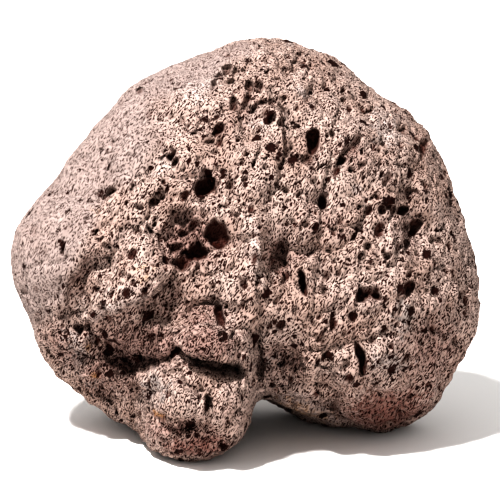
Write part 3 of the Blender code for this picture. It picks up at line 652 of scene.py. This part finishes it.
def closed_mesh(name, place, faces):
    """A mesh of four-sided faces from whole arrays, shaded smooth."""
    mesh = bpy.data.meshes.new(name)
    mesh.vertices.add(len(place))
    mesh.vertices.foreach_set("co", np.ascontiguousarray(place, np.float32).ravel())
    mesh.loops.add(faces.size)
    mesh.loops.foreach_set("vertex_index", np.ascontiguousarray(faces, np.int32).ravel())
    mesh.polygons.add(len(faces))
    mesh.polygons.foreach_set("loop_start", np.arange(0, faces.size, 4, dtype=np.int32))
    mesh.update(calc_edges=True)
    mesh.polygons.foreach_set("use_smooth", np.ones(len(faces), bool))
    return mesh


def keep_share(mesh, name, share):
    """Stores one number for each point of the mesh under this name."""
    layer = mesh.attributes.new(name, "FLOAT", "POINT")
    layer.data.foreach_set("value", np.ascontiguousarray(share, np.float32))


place, faces, shares = stone_skin()
skin = closed_mesh("stone", stand_up(place), faces)
for name, share in shares.items():
    keep_share(skin, name, share)
stone = bpy.data.objects.new("stone", skin)
bpy.context.scene.collection.objects.link(stone)

# Both halves are thinned, and the broad face keeps more of its triangles.
face_half = place[:, 2] > FACE_FROM
for name, chosen in (("back", ~face_half), ("face", face_half)):
    group = stone.vertex_groups.new(name=name)
    group.add(np.flatnonzero(chosen).tolist(), 1.0, "REPLACE")
whole = 2 * len(faces)
back_share = 2 * (~face_half[faces]).all(axis=1).sum()
thin = stone.modifiers.new("thin back", "DECIMATE")
thin.vertex_group = "back"
thin.ratio = (whole - back_share + BACK_TRIANGLES) / whole
thin = stone.modifiers.new("thin face", "DECIMATE")
thin.vertex_group = "face"
thin.ratio = (FRONT_TRIANGLES + BACK_TRIANGLES) / (whole - back_share + BACK_TRIANGLES)


# ---------------------------------------------------------------- weathered pumice
# Oxidised pumice, dry and worn outdoors: rock froth of red-brown glass with a dusty pink crust.
# To the eye it is quite without gloss, pale on its worn edges and dark brown inside its vesicles,
# which the colour darkens further as painted shade.

THIN_CRUST = "#948077"
THICK_CRUST = "#a18f87"
WORN_CRUST = "#8d807c"
BARE_STONE_AND_SHADE = "#866f68"
IRON_STAIN_AND_SHADE = "#75524a"
GREY_STONE = "#8a817d"
PALE_DUST_AND_LIGHT = "#b0a19b"
YELLOW_OCHRE = "#ab8660"
# The insides of pores and pits: red-brown glass, painted darker as shade.
SHADED_PORE_INSIDE = "#2a110b"
SHADED_PIT_INSIDE = "#3d1d15"


def colour(code):
    """Linear red, green, blue and alpha of an sRGB hex colour."""
    part = np.array([int(code[at:at + 2], 16) for at in (1, 3, 5)]) / 255
    linear = np.where(part <= 0.04045, part / 12.92, ((part + 0.055) / 1.055) ** 2.4)
    return (*linear, 1.0)


def add_node(tree, kind, settings=None, **sockets):
    """Adds a node, sets its properties, and sets or links its inputs by name."""
    node = tree.nodes.new(kind)
    for key, value in (settings or {}).items():
        setattr(node, key, value)
    for key, value in sockets.items():
        socket = node.inputs[int(key[1:]) if key[0] == "_" else key.replace("_", " ")]
        if isinstance(value, bpy.types.NodeSocket):
            tree.links.new(value, socket)
        else:
            socket.default_value = value
    return node


def share_of(tree, name):
    """The share kept on the mesh under this name."""
    return add_node(tree, "ShaderNodeAttribute", {"attribute_name": name}).outputs["Fac"]


def sum_of(tree, first, second, factor=1.0):
    """First plus factor times second."""
    return add_node(tree, "ShaderNodeMath", {"operation": "MULTIPLY_ADD"},
                    _0=second, _1=factor, _2=first).outputs["Value"]


def blend(tree, share, under, over):
    """Two colours mixed by a share, 0 all under and 1 all over."""
    return add_node(tree, "ShaderNodeMix", {"data_type": "RGBA"},
                    Factor=share, _6=under, _7=over).outputs["Result"]


def ranged(tree, value, low, high, start, end):
    """A value's smooth way from start, where it is low, to end, where it is high."""
    return add_node(tree, "ShaderNodeMapRange", {"interpolation_type": "SMOOTHSTEP"},
                    Value=value, _1=low, _2=high, _3=start, _4=end).outputs["Result"]


# Fine relief in millimetres. Threads of glass: their width and height, and the noise's values
# where a pore and a thread are whole. Open bubbles: spacing, least and most radius (below 0 for
# none) and depth.
FLOW_TURN = (0.1, 0.5, 0.0)
THREAD_WIDTH = 0.24
THREAD_HEIGHT = 0.8
THREAD_NOISE = (0.33, 0.49)
FINE_BUBBLES = [(1.3, -0.4, 0.5, 2.4), (2.6, -0.8, 0.66, 2.4)]
LEAST_RADIUS = 0.02
# How far, in millimetres, bubbles and threads are bent from their shapes, and drawn out.
BUBBLE_BEND = 1.5
BUBBLE_STRETCH = 1.4
THREAD_BEND = 0.4
THREAD_STRETCH = 3.4
# What wear adds to the height that the colour goes by, and what bare ground, darkened as painted
# shade, takes off it.
WORN_LIFT = 0.25
BARE_AND_SHADE_DROP = 0.22
# How deep the bump is, in millimetres, and the share of it that worn ground keeps.
BUMP_DEPTH = 0.6
WORN_BUMP = 0.6
# The crust is dull: almost the roughest there is, with few highlights.
CRUST_ROUGHNESS = 0.92
CRUST_SPECULAR = 0.2


def drawn_out(tree, place_in, bend, shift, stretch):
    """Places bent by a noise and squeezed along the flow, so round shapes there are long here."""
    bent = add_node(tree, "ShaderNodeVectorMath", {"operation": "MULTIPLY_ADD"},
                    _0=bend, _1=(shift, shift, shift), _2=place_in)
    return add_node(tree, "ShaderNodeMapping", {"vector_type": "TEXTURE"},
                    Vector=bent.outputs["Vector"], Rotation=FLOW_TURN,
                    Scale=(1.0, 1.0, stretch)).outputs["Vector"]


def fine_relief(tree, place_in):
    """Height of the finest froth, in about millimetres, drawn out along the flow.

    Threads are a noise cut off low and high. A bubble takes away the height of a half ball: its
    depth times the root of its radius squared less the distance squared.
    """
    bend = add_node(tree, "ShaderNodeTexNoise", Vector=place_in, Scale=1.3,
                    Detail=3.0).outputs["Color"]
    bubble_place = drawn_out(tree, place_in, bend, BUBBLE_BEND, BUBBLE_STRETCH)
    thread_place = drawn_out(tree, place_in, bend, THREAD_BEND, THREAD_STRETCH)
    threads = add_node(tree, "ShaderNodeTexNoise", Vector=thread_place,
                       Scale=1 / THREAD_WIDTH, Detail=0.0)
    rise = add_node(tree, "ShaderNodeMapRange", Value=threads.outputs["Fac"],
                    _1=THREAD_NOISE[0], _2=THREAD_NOISE[1])
    relief = sum_of(tree, 0.0, rise.outputs["Result"], THREAD_HEIGHT)
    for spacing, least, most, depth in FINE_BUBBLES:
        cells = add_node(tree, "ShaderNodeTexVoronoi", Vector=bubble_place, Scale=1 / spacing)
        radius = add_node(tree, "ShaderNodeMapRange", Value=cells.outputs["Color"],
                          _3=least, _4=most)
        radius = add_node(tree, "ShaderNodeMath", {"operation": "MAXIMUM"},
                          _0=radius.outputs["Result"], _1=LEAST_RADIUS).outputs["Value"]
        away = add_node(tree, "ShaderNodeMath", {"operation": "DIVIDE", "use_clamp": True},
                        _0=cells.outputs["Distance"], _1=radius)
        square = add_node(tree, "ShaderNodeMath", {"operation": "POWER"},
                          _0=away.outputs["Value"], _1=2.0)
        rest = add_node(tree, "ShaderNodeMath", {"operation": "SUBTRACT"},
                        _0=1.0, _1=square.outputs["Value"])
        bowl = add_node(tree, "ShaderNodeMath", {"operation": "SQRT"}, _0=rest.outputs["Value"])
        sunk = add_node(tree, "ShaderNodeMath", {"operation": "MULTIPLY"},
                        _0=bowl.outputs["Value"], _1=radius)
        relief = sum_of(tree, relief, sunk.outputs["Value"], -depth)
    return relief


def weathered_pumice():
    """Dull oxidised rock froth with a crust of pale dust, and painted light and shade in its colour."""
    material = bpy.data.materials.new("weathered pumice")
    material.use_nodes = True
    tree = material.node_tree
    shader = tree.nodes["Principled BSDF"]
    metres = add_node(tree, "ShaderNodeTexCoord").outputs["Object"]
    place_in = add_node(tree, "ShaderNodeVectorMath", {"operation": "SCALE"},
                        Vector=metres, Scale=1 / MM).outputs["Vector"]
    worn = share_of(tree, "worn")

    # The crust is dustier in patches some 8 mm across. Where it is gone the stone is browner, in
    # places redder from iron, grey, pale with dust, or yellow with ochre. The browner places are also
    # painted shade in hollows, recesses and under the knob.
    patches = add_node(tree, "ShaderNodeTexNoise", Vector=place_in, Scale=0.12, Detail=3.0)
    mottle = add_node(tree, "ShaderNodeTexNoise", Vector=place_in, Scale=0.7, Detail=4.0,
                      Roughness=0.65).outputs["Fac"]
    dust = ranged(tree, patches.outputs["Fac"], 0.35, 0.62, 0.0, 1.0)
    crust = blend(tree, dust, colour(THIN_CRUST), colour(THICK_CRUST))
    crust = blend(tree, ranged(tree, worn, 0.2, 1.0, 0.0, 0.7), crust, colour(WORN_CRUST))
    ragged = sum_of(tree, -0.5, mottle)
    bare_and_shade = ranged(tree, sum_of(tree, share_of(tree, "bare_and_shade"), ragged, 1.4), 0.1, 0.9, 0.0, 1.0)
    crust = blend(tree, bare_and_shade, crust, colour(BARE_STONE_AND_SHADE))
    # Redder from iron, and under the lobes darker as painted shade.
    rust_and_shade = ranged(tree, sum_of(tree, share_of(tree, "rust_and_shade"), ragged, 1.4), 0.2, 1.0, 0.0, 0.9)
    crust = blend(tree, rust_and_shade, crust, colour(IRON_STAIN_AND_SHADE))
    grey = ranged(tree, sum_of(tree, share_of(tree, "grey"), ragged, 2.4), 0.3, 0.9, 0.0, 0.8)
    crust = blend(tree, grey, crust, colour(GREY_STONE))
    # Pale with dust, and on the lobe behind the arch pale as painted light.
    dust_and_light = ranged(tree, sum_of(tree, share_of(tree, "dust_and_light"), ragged, 1.4), 0.3, 1.0, 0.0, 0.8)
    crust = blend(tree, dust_and_light, crust, colour(PALE_DUST_AND_LIGHT))
    ochre = ranged(tree, sum_of(tree, share_of(tree, "ochre"), ragged, 1.4), 0.3, 1.0, 0.0, 0.9)
    crust = blend(tree, ochre, crust, colour(YELLOW_OCHRE))

    # The lower a place lies in the froth, the darker: red-brown glass that dust doesn't reach, and
    # painted shade in pores that cast no shadow of their own. Wear closes the pores a little, and bare
    # stone has them open.
    relief = fine_relief(tree, place_in)
    lifted = sum_of(tree, sum_of(tree, relief, worn, WORN_LIFT), bare_and_shade, -BARE_AND_SHADE_DROP)
    high = ranged(tree, lifted, 0.08, 0.62, 0.0, 1.0)
    froth = blend(tree, high, colour(SHADED_PORE_INSIDE), crust)
    # Pits and bubbles darken with their depth: painted shade over their red-brown glass.
    pit_shade = ranged(tree, share_of(tree, "hollow"), 0.1, 1.0, 0.0, 0.9)
    stone_colour = blend(tree, pit_shade, froth, colour(SHADED_PIT_INSIDE))
    tree.links.new(stone_colour, shader.inputs["Base Color"])

    kept = add_node(tree, "ShaderNodeMapRange", Value=worn, _3=1.0, _4=WORN_BUMP)
    height = add_node(tree, "ShaderNodeMath", {"operation": "MULTIPLY"},
                      _0=relief, _1=kept.outputs["Result"])
    bump = add_node(tree, "ShaderNodeBump", Strength=1.0, Distance=BUMP_DEPTH * MM,
                    Height=height.outputs["Value"])
    tree.links.new(bump.outputs["Normal"], shader.inputs["Normal"])
    shader.inputs["Roughness"].default_value = CRUST_ROUGHNESS
    shader.inputs["Specular IOR Level"].default_value = CRUST_SPECULAR
    return material


skin.materials.append(weathered_pumice())
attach(stone, "root")
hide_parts("pumice_stone")


# ---------------------------------------------------------------- floor, light and camera
# A pale matt sheet lies flat under the stone. A small lamp high up, to the left and in front,
# gives the light. White surroundings and a weak, wide lamp in front fill the shadows.

FLOOR_HALF = 1.5
LAMPS_AIM_UP = 0.04
LAMPS_AWAY = 1.2

floor_mesh = bpy.data.meshes.new("floor")
floor_mesh.from_pydata([(-FLOOR_HALF, -FLOOR_HALF, 0), (FLOOR_HALF, -FLOOR_HALF, 0),
                        (FLOOR_HALF, FLOOR_HALF, 0), (-FLOOR_HALF, FLOOR_HALF, 0)],
                       [], [(0, 1, 2, 3)])
floor = bpy.data.objects.new("floor", floor_mesh)
bpy.context.scene.collection.objects.link(floor)
paper = bpy.data.materials.new("matt paper")
paper.use_nodes = True
paper.node_tree.nodes["Principled BSDF"].inputs["Base Color"].default_value = colour("#eceae8")
paper.node_tree.nodes["Principled BSDF"].inputs["Roughness"].default_value = 0.95
floor_mesh.materials.append(paper)

world = bpy.data.worlds.new("pale surroundings")
world.use_nodes = True
world.node_tree.nodes["Background"].inputs["Color"].default_value = colour("#ffffff")
world.node_tree.nodes["Background"].inputs["Strength"].default_value = 0.6
bpy.context.scene.world = world


def soft_lamp(name, towards, distance, side, power):
    """A square lamp at this distance along a direction, facing the stone's middle."""
    lamp = bpy.data.lights.new(name, "AREA")
    lamp.shape = "SQUARE"
    lamp.size = side
    lamp.energy = power
    holder = bpy.data.objects.new(name, lamp)
    bpy.context.scene.collection.objects.link(holder)
    way = Vector(towards).normalized()
    holder.location = way * distance + Vector((0, 0, LAMPS_AIM_UP))
    holder.rotation_euler = way.to_track_quat("Z", "Y").to_euler()


soft_lamp("key", (-0.30, -0.36, 0.88), LAMPS_AWAY, 0.1, 24.0)
soft_lamp("fill", (0.15, -0.97, 0.2), LAMPS_AWAY, 0.6, 1.0)

PIXELS = 500
MM_PER_PIXEL = 0.2137
LENS = 180.0
SENSOR = 36.0
# The camera aims this far to the right of and below the stone's middle, in pixels.
AIM_RIGHT = 5
AIM_BELOW = 3
distance = PIXELS * MM_PER_PIXEL * MM * LENS / SENSOR
lean = np.radians(LEAN)
aim_across = AIM_RIGHT * MM_PER_PIXEL
aim_up = -AIM_BELOW * MM_PER_PIXEL
aim = Vector(((aim_across - CENTRE_ACROSS) * MM,
              (aim_up * np.sin(lean) - CENTRE_BEHIND) * MM,
              (aim_up * np.cos(lean) - REST_LEVEL) * MM))
camera = bpy.data.cameras.new("camera")
camera.lens = LENS
camera.sensor_width = SENSOR
camera.clip_start = 0.01
viewer = bpy.data.objects.new("camera", camera)
bpy.context.scene.collection.objects.link(viewer)
back_off = Vector((0, -np.cos(lean), np.sin(lean)))
viewer.location = aim + back_off * distance
viewer.rotation_euler = back_off.to_track_quat("Z", "Y").to_euler()
bpy.context.scene.camera = viewer
bpy.context.scene.view_settings.view_transform = "Standard"
bpy.context.scene.view_settings.look = "Very High Contrast"
